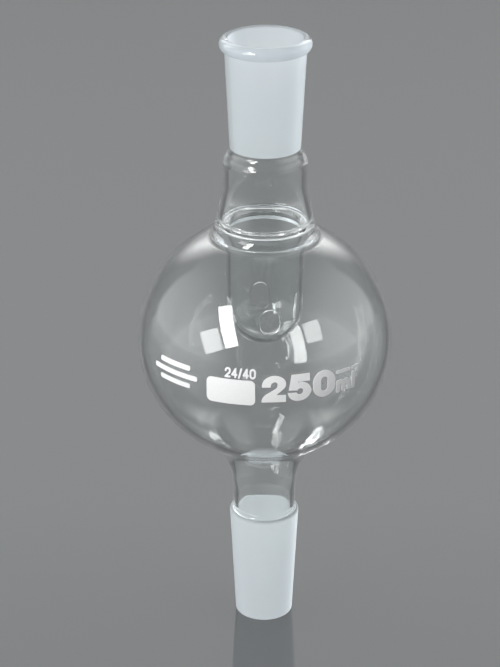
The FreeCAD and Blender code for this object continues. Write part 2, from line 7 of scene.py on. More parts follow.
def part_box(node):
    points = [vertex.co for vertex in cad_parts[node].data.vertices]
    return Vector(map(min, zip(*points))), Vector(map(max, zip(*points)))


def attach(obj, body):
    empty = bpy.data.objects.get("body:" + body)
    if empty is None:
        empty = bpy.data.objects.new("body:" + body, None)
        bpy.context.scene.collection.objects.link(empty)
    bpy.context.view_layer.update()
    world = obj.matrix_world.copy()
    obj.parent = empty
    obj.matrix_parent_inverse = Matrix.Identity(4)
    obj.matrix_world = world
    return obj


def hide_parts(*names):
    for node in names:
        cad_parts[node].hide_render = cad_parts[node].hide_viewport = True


# A glass splash head: nine clear or ground pieces turned about Z, fused end to end, and a white enamel print.
# Outlines are in millimetres, as (radius, height); the meshes are in metres.

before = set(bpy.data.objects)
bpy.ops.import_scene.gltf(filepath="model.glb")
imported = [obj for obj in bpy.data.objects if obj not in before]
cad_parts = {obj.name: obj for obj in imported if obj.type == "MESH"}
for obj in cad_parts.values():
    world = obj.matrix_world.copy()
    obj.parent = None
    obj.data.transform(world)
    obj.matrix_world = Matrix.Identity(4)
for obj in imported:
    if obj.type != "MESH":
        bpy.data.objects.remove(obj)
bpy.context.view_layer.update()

MM = 0.001

# How finely the outlines and the turned pieces are divided: millimetres, degrees and counts.
LINE_STEP = 3.0
ARC_STEP = 2.0
BULB_STEPS = 110
SEGMENTS = 288


def level(node, end):
    """Lowest (0) or highest (1) height of a CAD node, in millimetres."""
    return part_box(node)[end].z / MM


def girth(node):
    """Largest radius of a CAD node, in millimetres."""
    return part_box(node)[1].x / MM


# ---- sizes that the frame gives -------------------------------------------------------------------------

STUB = level("ground_cone", 1)
OUTLET_FOOT = level("lower_neck", 1)
OUTLET_TOP = level("bulb_outlet", 1)
SEAL_FOOT = level("ring_seal", 0)
SEAL_TOP = level("ring_seal", 1)
SOCKET_FOOT = level("ground_socket", 0)
RIM_FOOT = level("socket_rim", 0)
RIM_TOP = level("socket_rim", 1)
LOWER_NECK = girth("lower_neck")
OUTLET = girth("bulb_outlet")
BULB = girth("bulb_lower")
SEAL = girth("ring_seal")
TUBE = girth("inner_tube")
RIM = girth("socket_rim")

# ---- sizes inside the walls -----------------------------------------------------------------------------

# Ground joints: the radius lost per millimetre of length, and the radius in the gauge plane.
TAPER = 0.05
GAUGE_RADIUS = 12.0

# Ground cone: its length, wall and rounded end, and the bends from its large end to the lower neck.
CONE_LENGTH = 40.0
CONE_WALL = 1.8
CONE_END = 0.4
CONE_SHOULDER = 1.2
CONE_FILLET = 0.8
CONE_BORE_BEND = 2.0
LOWER_WALL = 1.6

# Bulb: its wall, the height of its centre and half its own height.
BULB_WALL = 1.8
BULB_LEVEL = 106.65
BULB_HALF = 41.7

# Inner tube: its wall, and the height where its round end starts.
TUBE_WALL = 1.3
TUBE_ROUND = 118.3

# Upper neck: its radius and wall, its radius and lean at the ring seal, and the bends below and above.
NECK = 14.0
NECK_WALL = 1.9
NECK_BASE = 16.7
NECK_LEAN = math.radians(12.0)
NECK_BEND = 18.3
NECK_SHOULDER = 4.5
NECK_FILLET = 2.5

# Ring seal: the bends of its inner step, and the arched gap round the inner tube.
SEAL_ROUND = 1.5
SEAL_GAP = 14.9
SEAL_GAP_LEVEL = 147.2
SEAL_ARCH = 1.05

# Ground socket and rim: its wall and gauge plane, the bead's radius and height, and the round of the lip.
SOCKET_WALL = 1.45
SOCKET_GAUGE = 209.5
RIM_ROUND = 2.3
RIM_LEVEL = 209.6
LIP_DROP = 0.95

# Vent holes: how many, the turn of the first from the front, the oval's height, end radius and half
# straight length, and the round of its edge.
VENTS = 4
VENT_TURN = math.radians(8.0)
VENT_LEVEL = 117.0
VENT_HALF = 3.2
VENT_STRAIGHT = 1.3
VENT_LIP = 0.45

# Finishes, in the order of each glass piece's materials.
CLEAR, WELD, GROUND, MILKY = 0, 1, 2, 3


# ---- outlines -------------------------------------------------------------------------------------------

def straight(start, end, finish=CLEAR):
    """A straight edge of an outline: its points, each with the outward normal, and its finish."""
    run = Vector(end) - Vector(start)
    steps = max(1, math.ceil(run.length / LINE_STEP))
    normal = (run.y / run.length, -run.x / run.length)
    points = [Vector(start).lerp(Vector(end), i / steps) for i in range(steps + 1)]
    return [(p.x, p.y, *normal) for p in points], finish


def bend(start, end, radius, finish=CLEAR):
    """An arc edge of an outline. A positive radius bulges out of the glass, a negative one hollows it."""
    a, b = Vector(start), Vector(end)
    chord = b - a
    side = 1 if radius > 0 else -1
    size = abs(radius)
    left = Vector((-chord.y, chord.x)).normalized()
    centre = (a + b) / 2 + left * side * math.sqrt(max(size**2 - chord.length_squared / 4, 0.0))
    turn = 2 * math.asin(min(1.0, chord.length / 2 / size)) * side
    first = math.atan2(a.y - centre.y, a.x - centre.x)
    steps = max(4, math.ceil(abs(math.degrees(turn)) / ARC_STEP))
    points = []
    for i in range(steps + 1):
        angle = first + turn * i / steps
        out = (math.cos(angle), math.sin(angle))
        points.append((centre.x + size * out[0], centre.y + size * out[1], side * out[0], side * out[1]))
    return points, finish


def spheroid(inset, low, high, outward):
    """The bulb's wall between two heights above its centre, going up outside and down inside."""
    wide, tall = BULB - inset, BULB_HALF - inset
    first, last = math.asin(low / tall), math.asin(high / tall)
    if not outward:
        first, last = last, first
    points = []
    for i in range(BULB_STEPS + 1):
        angle = first + (last - first) * i / BULB_STEPS
        x, z = wide * math.cos(angle), tall * math.sin(angle)
        normal = Vector((x / wide**2, z / tall**2)).normalized() * (1 if outward else -1)
        points.append((x, BULB_LEVEL + z, normal.x, normal.y))
    return points, CLEAR


def spheroid_radius(inset, rise):
    """Radius of the bulb's wall at a height above its centre."""
    return (BULB - inset) * math.sqrt(1 - (rise / (BULB_HALF - inset)) ** 2)


def s_turn(inset, first, second):
    """Turn of each of two opposed bends that together move a wall sideways by inset."""
    return math.acos(1 - inset / (first + second))


def cone_outside(z):
    return GAUGE_RADIUS - TAPER * (CONE_LENGTH - z)


def socket_bore(z):
    return GAUGE_RADIUS - TAPER * (SOCKET_GAUGE - z)


OUTLET_INNER = spheroid_radius(BULB_WALL, OUTLET_TOP - BULB_LEVEL)
SEAL_INNER = spheroid_radius(BULB_WALL, SEAL_FOOT - BULB_LEVEL)
LOWER_BORE = LOWER_NECK - LOWER_WALL
TUBE_BORE = TUBE - TUBE_WALL


def flare_radius(inset, weld, tube):
    """Radius of the fillet between a straight tube and the bulb, and the height where it starts."""
    rise = BULB_LEVEL - OUTLET_TOP
    slope = math.atan(((BULB - inset) / (BULB_HALF - inset)) ** 2 * rise / weld)
    radius = (weld - tube) / (1 - math.cos(slope))
    return radius, OUTLET_TOP - radius * math.sin(slope)


seal_slope = math.atan((BULB / BULB_HALF) ** 2 * (SEAL_FOOT - BULB_LEVEL) / SEAL)
SEAL_FILLET = (SEAL - NECK_BASE) / (math.cos(NECK_LEAN) - math.cos(seal_slope))
NECK_BASE_LEVEL = SEAL_FOOT + SEAL_FILLET * (math.sin(seal_slope) - math.sin(NECK_LEAN))
SEAL_TOP_OUTER = NECK_BASE - (SEAL_TOP - NECK_BASE_LEVEL) * math.tan(NECK_LEAN)
SEAL_TOP_INNER = SEAL_TOP_OUTER - NECK_WALL / math.cos(NECK_LEAN)


def cone_outline():
    outer = cone_outside(CONE_LENGTH)
    turn = s_turn(outer - LOWER_NECK, CONE_SHOULDER, CONE_FILLET)
    middle = (outer - CONE_SHOULDER * (1 - math.cos(turn)), CONE_LENGTH + CONE_SHOULDER * math.sin(turn))
    end = (LOWER_NECK, CONE_LENGTH + (CONE_SHOULDER + CONE_FILLET) * math.sin(turn))
    bore = outer - CONE_WALL
    bore_turn = s_turn(bore - LOWER_BORE, CONE_BORE_BEND, CONE_BORE_BEND)
    bore_end = (LOWER_BORE, CONE_LENGTH + 2 * CONE_BORE_BEND * math.sin(bore_turn))
    bore_middle = ((bore + LOWER_BORE) / 2, CONE_LENGTH + CONE_BORE_BEND * math.sin(bore_turn))
    foot = cone_outside(CONE_END) - CONE_WALL
    tip = cone_outside(0)
    return [
        straight((foot + CONE_END, 0), (tip - CONE_END, 0)),
        bend((tip - CONE_END, 0), (cone_outside(CONE_END), CONE_END), CONE_END, GROUND),
        straight((cone_outside(CONE_END), CONE_END), (outer, CONE_LENGTH), GROUND),
        bend((outer, CONE_LENGTH), middle, CONE_SHOULDER, GROUND),
        bend(middle, end, -CONE_FILLET),
        straight(end, (LOWER_NECK, STUB)),
        straight((LOWER_NECK, STUB), (LOWER_BORE, STUB), WELD),
        straight((LOWER_BORE, STUB), bore_end),
        bend(bore_end, bore_middle, CONE_BORE_BEND),
        bend(bore_middle, (bore, CONE_LENGTH), -CONE_BORE_BEND),
        straight((bore, CONE_LENGTH), (foot, CONE_END)),
        bend((foot, CONE_END), (foot + CONE_END, 0), CONE_END),
    ]


def lower_neck_outline():
    return [
        straight((LOWER_BORE, STUB), (LOWER_NECK, STUB), WELD),
        straight((LOWER_NECK, STUB), (LOWER_NECK, OUTLET_FOOT)),
        straight((LOWER_NECK, OUTLET_FOOT), (LOWER_BORE, OUTLET_FOOT), WELD),
        straight((LOWER_BORE, OUTLET_FOOT), (LOWER_BORE, STUB)),
    ]


def outlet_outline():
    outer, outer_foot = flare_radius(0, OUTLET, LOWER_NECK)
    inner, inner_foot = flare_radius(BULB_WALL, OUTLET_INNER, LOWER_BORE)
    return [
        straight((LOWER_BORE, OUTLET_FOOT), (LOWER_NECK, OUTLET_FOOT), WELD),
        bend((LOWER_NECK, outer_foot), (OUTLET, OUTLET_TOP), -outer),
        straight((OUTLET, OUTLET_TOP), (OUTLET_INNER, OUTLET_TOP), WELD),
        bend((OUTLET_INNER, OUTLET_TOP), (LOWER_BORE, inner_foot), inner),
        straight((LOWER_BORE, inner_foot), (LOWER_BORE, OUTLET_FOOT)),
    ]


def bulb_outline():
    low, high = OUTLET_TOP - BULB_LEVEL, SEAL_FOOT - BULB_LEVEL
    return [
        spheroid(0, low, high, True),
        straight((SEAL, SEAL_FOOT), (SEAL_INNER, SEAL_FOOT), WELD),
        spheroid(BULB_WALL, low, high, False),
        straight((OUTLET_INNER, OUTLET_TOP), (OUTLET, OUTLET_TOP), WELD),
    ]


def seal_outline():
    turn = s_turn(SEAL_TOP_INNER - TUBE_BORE, SEAL_ROUND, SEAL_ROUND)
    middle = ((SEAL_TOP_INNER + TUBE_BORE) / 2, SEAL_TOP - SEAL_ROUND * math.sin(turn))
    step = (TUBE_BORE, SEAL_TOP - 2 * SEAL_ROUND * math.sin(turn))
    return [
        straight((SEAL_INNER, SEAL_FOOT), (SEAL, SEAL_FOOT), WELD),
        bend((SEAL, SEAL_FOOT), (NECK_BASE, NECK_BASE_LEVEL), -SEAL_FILLET),
        straight((NECK_BASE, NECK_BASE_LEVEL), (SEAL_TOP_OUTER, SEAL_TOP)),
        straight((SEAL_TOP_OUTER, SEAL_TOP), (SEAL_TOP_INNER, SEAL_TOP), WELD),
        bend((SEAL_TOP_INNER, SEAL_TOP), middle, -SEAL_ROUND),
        bend(middle, step, SEAL_ROUND),
        straight(step, (TUBE_BORE, SEAL_FOOT)),
        straight((TUBE_BORE, SEAL_FOOT), (TUBE, SEAL_FOOT), WELD),
        straight((TUBE, SEAL_FOOT), (TUBE, SEAL_GAP_LEVEL)),
        bend((TUBE, SEAL_GAP_LEVEL), (SEAL_GAP, SEAL_GAP_LEVEL), -SEAL_ARCH),
        straight((SEAL_GAP, SEAL_GAP_LEVEL), (SEAL_INNER, SEAL_FOOT)),
    ]


def neck_outline():
    inner = NECK - NECK_WALL
    rise, run = math.sin(NECK_LEAN), 1 - math.cos(NECK_LEAN)
    start = NECK + NECK_BEND * run
    start_level = NECK_BASE_LEVEL + (NECK_BASE - start) / math.tan(NECK_LEAN)
    end_level = start_level + NECK_BEND * rise
    inner_bend = NECK_BEND + NECK_WALL
    inner_start = (inner + inner_bend * run, end_level - inner_bend * rise)
    foot = socket_bore(SOCKET_FOOT)
    turn = s_turn(NECK - foot - SOCKET_WALL, NECK_SHOULDER, NECK_FILLET)
    shoulder = SOCKET_FOOT - (NECK_SHOULDER + NECK_FILLET) * math.sin(turn)
    middle = (NECK - NECK_SHOULDER * (1 - math.cos(turn)), shoulder + NECK_SHOULDER * math.sin(turn))
    first, second = NECK_SHOULDER - NECK_WALL, NECK_FILLET + SOCKET_WALL
    inner_turn = s_turn(inner - foot, first, second)
    inner_level = SOCKET_FOOT - (first + second) * math.sin(inner_turn)
    inner_middle = (inner - first * (1 - math.cos(inner_turn)), inner_level + first * math.sin(inner_turn))
    return [
        straight((SEAL_TOP_INNER, SEAL_TOP), (SEAL_TOP_OUTER, SEAL_TOP), WELD),
        straight((SEAL_TOP_OUTER, SEAL_TOP), (start, start_level)),
        bend((start, start_level), (NECK, end_level), -NECK_BEND),
        straight((NECK, end_level), (NECK, shoulder)),
        bend((NECK, shoulder), middle, NECK_SHOULDER),
        bend(middle, (foot + SOCKET_WALL, SOCKET_FOOT), -NECK_FILLET),
        straight((foot + SOCKET_WALL, SOCKET_FOOT), (foot, SOCKET_FOOT), WELD),
        bend((foot, SOCKET_FOOT), inner_middle, second),
        bend(inner_middle, (inner, inner_level), -first),
        straight((inner, inner_level), (inner, end_level)),
        bend((inner, end_level), inner_start, inner_bend),
        straight(inner_start, (SEAL_TOP_INNER, SEAL_TOP)),
    ]


def socket_outline():
    low, high = socket_bore(SOCKET_FOOT), socket_bore(RIM_FOOT)
    return [
        straight((low, SOCKET_FOOT), (low + SOCKET_WALL, SOCKET_FOOT), WELD),
        straight((low + SOCKET_WALL, SOCKET_FOOT), (high + SOCKET_WALL, RIM_FOOT)),
        straight((high + SOCKET_WALL, RIM_FOOT), (high, RIM_FOOT), WELD),
        straight((high, RIM_FOOT), (low, SOCKET_FOOT), GROUND),
    ]


def rim_outline():
    foot = socket_bore(RIM_FOOT)
    lip = RIM_TOP - LIP_DROP
    return [
        straight((foot, RIM_FOOT), (foot + SOCKET_WALL, RIM_FOOT), WELD),
        bend((foot + SOCKET_WALL, RIM_FOOT), (RIM, RIM_LEVEL), RIM_ROUND, MILKY),
        bend((RIM, RIM_LEVEL), (RIM - RIM_ROUND, RIM_TOP), RIM_ROUND, MILKY),
        bend((RIM - RIM_ROUND, RIM_TOP), (socket_bore(lip), lip), LIP_DROP, GROUND),
        straight((socket_bore(lip), lip), (foot, RIM_FOOT), GROUND),
    ]


# ---- meshes ---------------------------------------------------------------------------------------------

def in_scene(name, data):
    """A new object of the scene."""
    thing = bpy.data.objects.new(name, data)
    bpy.context.scene.collection.objects.link(thing)
    return thing


class Shell:
    """Faces with their own corner normals and finishes, kept in metres."""

    def __init__(self):
        self.points = []
        self.faces = []
        self.normals = []
        self.finishes = []

    def point(self, place):
        self.points.append(tuple(c * MM for c in place))
        return len(self.points) - 1

    def face(self, corners, normals, finish):
        self.faces.append(corners)
        self.normals.extend(normals)
        self.finishes.append(finish)

    def patch(self, corners, flipped=False):
        """A clear face between corners that are each a point and its normal."""
        corners = corners[::-1] if flipped else corners
        self.face(tuple(c[0] for c in corners), [c[1] for c in corners], CLEAR)

    def build(self, name):
        mesh = bpy.data.meshes.new(name)
        mesh.from_pydata(self.points, [], self.faces)
        mesh.polygons.foreach_set("use_smooth", [True] * len(self.faces))
        mesh.polygons.foreach_set("material_index", self.finishes)
        mesh.validate()
        mesh.normals_split_custom_set(self.normals)
        mesh.update()
        return in_scene(name, mesh)


def around(radius, z, angle):
    """Place at an angle about Z, from the front (-Y) towards +X."""
    return (radius * math.sin(angle), -radius * math.cos(angle), z)


def turned(name, outline):
    """A closed piece turned about Z from an anticlockwise outline."""
    shell = Shell()
    angles = [2 * math.pi * i / SEGMENTS for i in range(SEGMENTS)]
    rings = []
    for points, _ in outline:
        rings.extend(points[:-1])
    index = [[shell.point(around(r, z, a)) for a in angles] for r, z, _, _ in rings]
    row = 0
    for points, finish in outline:
        for here, there in zip(points, points[1:]):
            following = (row + 1) % len(rings)
            for i in range(SEGMENTS):
                j = (i + 1) % SEGMENTS
                shell.face(
                    (index[row][i], index[row][j], index[following][j], index[following][i]),
                    [
                        around(here[2], here[3], angles[i]),
                        around(here[2], here[3], angles[j]),
                        around(there[2], there[3], angles[j]),
                        around(there[2], there[3], angles[i]),
                    ],
                    finish,
                )
            row = following
    return shell.build(name)


# The inner tube's wall is laid out by (turn, rise): rise is a height above the round end's start, and
# below it the angle on the round end times the mean radius. Each vent sits in a patch of its grid.

TUBE_MEAN = TUBE - TUBE_WALL / 2
TUBE_COLUMNS = 192
SECTOR = TUBE_COLUMNS // VENTS
PATCH_HALF = 15
PATCH_LOW, PATCH_HIGH = -12.0, 8.0
ROWS_BELOW, PATCH_ROWS, ROWS_ABOVE = 9, 32, 5
PATCH_TOP = ROWS_BELOW + PATCH_ROWS
VENT_LAYERS = 7
LAYER_SPREAD = 0.8
LIP_STEPS = 8


def tube_rises():
    """The rise of each row of the grid: closer together over the vents."""
    lowest, highest = -math.pi / 2 * TUBE_MEAN, SEAL_FOOT - TUBE_ROUND
    below = [lowest + (PATCH_LOW - lowest) * (i / (ROWS_BELOW + 1)) for i in range(1, ROWS_BELOW + 1)]
    patch = [PATCH_LOW + (PATCH_HIGH - PATCH_LOW) * i / PATCH_ROWS for i in range(PATCH_ROWS + 1)]
    above = [PATCH_HIGH + (highest - PATCH_HIGH) * i / ROWS_ABOVE for i in range(1, ROWS_ABOVE + 1)]
    return below + patch + above


RISES = tube_rises()
TURNS = [VENT_TURN + 2 * math.pi / TUBE_COLUMNS * (i - PATCH_HALF) for i in range(TUBE_COLUMNS)]


def tube_place(turn, rise, radius):
    """Point and outward normal of a tube wall of this radius."""
    if rise >= 0:
        return around(radius, TUBE_ROUND + rise, turn), around(1.0, 0.0, turn)
    angle = rise / TUBE_MEAN
    flat, down = math.cos(angle), math.sin(angle)
    return around(radius * flat, TUBE_ROUND + radius * down, turn), around(flat, down, turn)


def vent_edge(direction, radius, spread):
    """Turn and rise where a ray from a vent's centre meets its outline, widened by spread: by halving."""
    near, far = 0.0, 20.0
    for _ in range(40):
        reach = (near + far) / 2
        x, z = direction[0] * reach, direction[1] * reach
        beyond = math.hypot(x, max(abs(z) - VENT_STRAIGHT, 0.0)) - VENT_HALF - spread
        near, far = (reach, far) if beyond < 0 else (near, reach)
    height = VENT_LEVEL + direction[1] * near - TUBE_ROUND
    if height >= 0:
        return math.asin(direction[0] * near / radius), height
    across = math.sqrt(radius**2 - height**2)
    return math.asin(direction[0] * near / across), math.asin(height / radius) * TUBE_MEAN


def patch_border(base):
    """Rows and columns round one vent's patch, anticlockwise from its lower left corner."""
    right = base + 2 * PATCH_HALF
    border = [(ROWS_BELOW, base + i) for i in range(2 * PATCH_HALF)]
    border += [(ROWS_BELOW + i, right) for i in range(PATCH_ROWS)]
    border += [(PATCH_TOP, right - i) for i in range(2 * PATCH_HALF)]
    border += [(PATCH_TOP - i, base) for i in range(PATCH_ROWS)]
    return border


def vent_patch(shell, grid, base, radius, side):
    """The wall round one vent, as rings from the patch's border to the vent's edge, which is returned."""
    middle = TURNS[base + PATCH_HALF]
    border = patch_border(base)
    starts = [(TURNS[column] - middle, RISES[row]) for row, column in border]
    ends = []
    for turn, rise in starts:
        aim = Vector((turn * TUBE_MEAN, rise - (VENT_LEVEL - TUBE_ROUND))).normalized()
        ends.append(vent_edge(aim, radius, VENT_LIP))
    rings = [[grid[place] for place in border]]
    for layer in range(1, VENT_LAYERS + 1):
        share = (layer / VENT_LAYERS) ** LAYER_SPREAD
        ring = []
        for (turn, rise), (edge_turn, edge_rise) in zip(starts, ends):
            place, normal = tube_place(
                middle + turn + (edge_turn - turn) * share, rise + (edge_rise - rise) * share, radius)
            ring.append((shell.point(place), tuple(side * c for c in normal)))
        rings.append(ring)
    for out, into in zip(rings, rings[1:]):
        for i in range(len(out)):
            j = (i + 1) % len(out)
            shell.patch([out[i], out[j], into[j], into[i]], flipped=side < 0)
    return rings[-1]


def tube_wall(shell, radius, side):
    """The tube's outer (side 1) or inner (side -1) wall: its grid of corners, and the edge of each vent."""
    grid = {}
    for row, rise in enumerate(RISES):
        for column, turn in enumerate(TURNS):
            if ROWS_BELOW < row < PATCH_TOP and 0 < column % SECTOR < 2 * PATCH_HALF:
                continue
            place, normal = tube_place(turn, rise, radius)
            grid[row, column] = (shell.point(place), tuple(side * c for c in normal))
    pole = (shell.point((0, 0, TUBE_ROUND - radius)), (0, 0, -side))
    for column in range(TUBE_COLUMNS):
        following = (column + 1) % TUBE_COLUMNS
        shell.patch([pole, grid[0, following], grid[0, column]], flipped=side < 0)
        for row in range(len(RISES) - 1):
            if ROWS_BELOW <= row < PATCH_TOP and column % SECTOR < 2 * PATCH_HALF:
                continue
            shell.patch([grid[row, column], grid[row, following],
                         grid[row + 1, following], grid[row + 1, column]], flipped=side < 0)
    return grid, [vent_patch(shell, grid, vent * SECTOR, radius, side) for vent in range(VENTS)]


def inner_tube():
    """The closed tube: two walls, joined by a rounded lip at each vent and by the weld at the top."""
    shell = Shell()
    outer, outer_vents = tube_wall(shell, TUBE, 1)
    inner, inner_vents = tube_wall(shell, TUBE_BORE, -1)
    for vent in range(VENTS):
        vent_lip(shell, outer_vents[vent], inner_vents[vent], TURNS[vent * SECTOR + PATCH_HALF])
    last = len(RISES) - 1
    for column in range(TUBE_COLUMNS):
        following = (column + 1) % TUBE_COLUMNS
        shell.face(
            (outer[last, column][0], outer[last, following][0],
             inner[last, following][0], inner[last, column][0]), [(0, 0, 1)] * 4, WELD)
    return shell.build("inner_tube_glass")


def vent_lip(shell, outer_ring, inner_ring, middle):
    """The fire-polished half-round edge of one vent hole."""
    count = len(outer_ring)
    centre = Vector(tube_place(middle, VENT_LEVEL - TUBE_ROUND, TUBE_MEAN)[0]) * MM
    rings = []
    for step in range(LIP_STEPS + 1):
        angle = math.pi * step / LIP_STEPS
        ring = []
        for i in range(count):
            a, b = Vector(shell.points[outer_ring[i][0]]), Vector(shell.points[inner_ring[i][0]])
            half = (a - b) / 2
            across = half.normalized()
            near = Vector(shell.points[outer_ring[i - 1][0]])
            far = Vector(shell.points[outer_ring[(i + 1) % count][0]])
            into = across.cross((far - near).normalized()).normalized()
            if into.dot(centre - (a + b) / 2) < 0:
                into = -into
            place = (a + b) / 2 + half * math.cos(angle) + into * VENT_LIP * MM * math.sin(angle)
            normal = (across * math.cos(angle) * VENT_LIP * MM + into * math.sin(angle) * half.length)
            if step == 0:
                number = outer_ring[i][0]
            elif step == LIP_STEPS:
                number = inner_ring[i][0]
            else:
                number = shell.point(place / MM)
            ring.append((number, tuple(normal.normalized())))
        rings.append(ring)
    for out, into in zip(rings, rings[1:]):
        for i in range(count):
            j = (i + 1) % count
            shell.patch([out[i], out[j], into[j], into[i]])


# ---- materials ------------------------------------------------------------------------------------------

GLASS_IOR = 1.474


def new_material(name):
    material = bpy.data.materials.new(name)
    material.use_nodes = True
    nodes = material.node_tree.nodes
    nodes.clear()
    return material, nodes, material.node_tree.links


def shader(nodes, kind, settings):
    """A shader node, with plain numbers and colours set on its own sockets."""
    node = nodes.new(kind)
    for socket, value in settings.items():
        node.inputs[socket].default_value = value
    return node


def grain(nodes, links, scale, detail):
    """Fine noise that is fixed to the piece."""
    place = nodes.new("ShaderNodeTexCoord")
    noise = shader(nodes, "ShaderNodeTexNoise", {"Scale": scale, "Detail": detail})
    links.new(place.outputs["Object"], noise.inputs["Vector"])
    return noise.outputs["Fac"]


def bumps(nodes, links, height, strength, distance):
    """The normals of a surface with this height, in metres."""
    bump = shader(nodes, "ShaderNodeBump", {"Strength": strength, "Distance": distance})
    links.new(height, bump.inputs["Height"])
    return bump.outputs[0]


def waves(nodes, links, scale, distance, stretch):
    """The slight unevenness of drawn and blown glass: normals from stretched noise."""
    place = nodes.new("ShaderNodeTexCoord")
    squeeze = shader(nodes, "ShaderNodeMapping", {"Scale": stretch})
    noise = shader(nodes, "ShaderNodeTexNoise", {"Scale": scale, "Detail": 1.0, "Roughness": 0.4})
    links.new(place.outputs["Object"], squeeze.inputs["Vector"])
    links.new(squeeze.outputs["Vector"], noise.inputs["Vector"])
    return bumps(nodes, links, noise.outputs["Fac"], 1.0, distance)


def pass_light(nodes, links, surface, tint):
    """Glass that shadow and diffuse rays go straight through, so that what is behind it is lit."""
    path = nodes.new("ShaderNodeLightPath")
    either = nodes.new("ShaderNodeMath")
    either.operation = "MAXIMUM"
    clear = shader(nodes, "ShaderNodeBsdfTransparent", {"Color": (*tint, 1.0)})
    mix = nodes.new("ShaderNodeMixShader")
    out = nodes.new("ShaderNodeOutputMaterial")
    links.new(path.outputs["Is Shadow Ray"], either.inputs[0])
    links.new(path.outputs["Is Diffuse Ray"], either.inputs[1])
    links.new(either.outputs[0], mix.inputs[0])
    links.new(surface, mix.inputs[1])
    links.new(clear.outputs[0], mix.inputs[2])
    links.new(mix.outputs[0], out.inputs["Surface"])


def clear_glass():
    material, nodes, links = new_material("clear_glass")
    glass = shader(nodes, "ShaderNodeBsdfPrincipled", {
        "Base Color": (0.95, 0.965, 0.962, 1.0),
        "Roughness": 0.0,
        "IOR": GLASS_IOR,
        "Transmission Weight": 1.0,
    })
    links.new(waves(nodes, links, 60.0, 0.00012, (1.0, 1.0, 0.45)), glass.inputs["Normal"])
    pass_light(nodes, links, glass.outputs[0], (0.95, 0.96, 0.955))
    return material


def weld():
    """A face inside the fused glass, where two pieces meet: it isn't seen."""
    material, nodes, links = new_material("weld_inside_the_glass")
    clear = nodes.new("ShaderNodeBsdfTransparent")
    out = nodes.new("ShaderNodeOutputMaterial")
    links.new(clear.outputs[0], out.inputs["Surface"])
    return material


def ground_glass():
    """Frosted glass: mostly a surface that lets light through in all directions."""
    material, nodes, links = new_material("ground_glass")
    glass = shader(nodes, "ShaderNodeBsdfPrincipled", {
        "Base Color": (0.90, 0.96, 1.0, 1.0),
        "IOR": GLASS_IOR,
        "Transmission Weight": 0.3,
    })
    noise = grain(nodes, links, 900.0, 3.0)
    tone = shader(nodes, "ShaderNodeMapRange", {"To Min": 0.5, "To Max": 0.62})
    links.new(noise, tone.inputs["Value"])
    links.new(tone.outputs[0], glass.inputs["Roughness"])
    links.new(bumps(nodes, links, noise, 0.3, 0.00003), glass.inputs["Normal"])
    scatter = shader(nodes, "ShaderNodeBsdfTranslucent", {"Color": (0.91, 0.965, 1.0, 1.0)})
    both = nodes.new("ShaderNodeMixShader")
    both.inputs[0].default_value = 0.75
    links.new(glass.outputs[0], both.inputs[1])
    links.new(scatter.outputs[0], both.inputs[2])
    pass_light(nodes, links, both.outputs[0], (0.86, 0.87, 0.88))
    return material


def milky_glass():
    """Fire-polished glass that is clouded by the ground face behind it."""
    material, nodes, links = new_material("milky_glass")
    glass = shader(nodes, "ShaderNodeBsdfPrincipled", {
        "Base Color": (0.66, 0.71, 0.74, 1.0),
        "Roughness": 0.06,
        "IOR": GLASS_IOR,
        "Transmission Weight": 0.86,
    })
    links.new(waves(nodes, links, 90.0, 0.0001, (1.0, 1.0, 1.0)), glass.inputs["Normal"])
    pass_light(nodes, links, glass.outputs[0], (0.88, 0.9, 0.91))
    return material


def white_enamel():
    material, nodes, links = new_material("white_enamel")
    paint = shader(nodes, "ShaderNodeBsdfPrincipled", {"Roughness": 0.4})
    noise = grain(nodes, links, 1400.0, 4.0)
    tones = nodes.new("ShaderNodeValToRGB")
    darker, lighter = tones.color_ramp.elements
    darker.position, darker.color = 0.25, (0.75, 0.755, 0.755, 1.0)
    lighter.position, lighter.color = 0.6, (0.78, 0.785, 0.785, 1.0)
    links.new(noise, tones.inputs["Fac"])
    links.new(tones.outputs["Color"], paint.inputs["Base Color"])
    links.new(bumps(nodes, links, noise, 0.4, 0.00002), paint.inputs["Normal"])
    out = nodes.new("ShaderNodeOutputMaterial")
    links.new(paint.outputs[0], out.inputs["Surface"])
    return material


CLEAR_GLASS = clear_glass()
WELD_FACE = weld()
GROUND_GLASS = ground_glass()
MILKY_GLASS = milky_glass()
ENAMEL = white_enamel()

# Each turned piece: its name, its outline, its material slot and the CAD nodes that it replaces.
GLASS_PIECES = [
    ("ground_cone_glass", cone_outline(), "ground_glass", "ground_cone"),
    ("lower_neck_glass", lower_neck_outline(), "clear_glass", "lower_neck"),
    ("bulb_outlet_glass", outlet_outline(), "clear_glass", "bulb_outlet"),
    ("bulb_glass", bulb_outline(), "clear_glass", "bulb_lower", "bulb_upper"),
    ("ring_seal_glass", seal_outline(), "clear_glass", "ring_seal"),
    ("upper_neck_glass", neck_outline(), "clear_glass", "upper_neck"),
    ("ground_socket_glass", socket_outline(), "ground_glass", "ground_socket"),
    ("socket_rim_glass", rim_outline(), "clear_glass", "socket_rim"),
]
FROSTED_PIECES = ("ground_cone_glass", "ground_socket_glass", "socket_rim_glass")

made = [(turned(name, outline), slot, nodes) for name, outline, slot, *nodes in GLASS_PIECES]
made.append((inner_tube(), "clear_glass", ["inner_tube"]))
for piece, slot, nodes in made:
    for material in (CLEAR_GLASS, WELD_FACE, GROUND_GLASS, MILKY_GLASS):
        piece.data.materials.append(material)
    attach(piece, "root")
    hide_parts(*nodes)

for node in ("marking_spot", "joint_size_mark", "capacity_mark", "maker_bars", "grade_dashes"):
    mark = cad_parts[node]
    if not mark.material_slots:
        mark.data.materials.append(None)
    for held in mark.material_slots:
        held.link = "OBJECT"
        held.material = ENAMEL


# ---- floor, light and camera ----------------------------------------------------------------------------

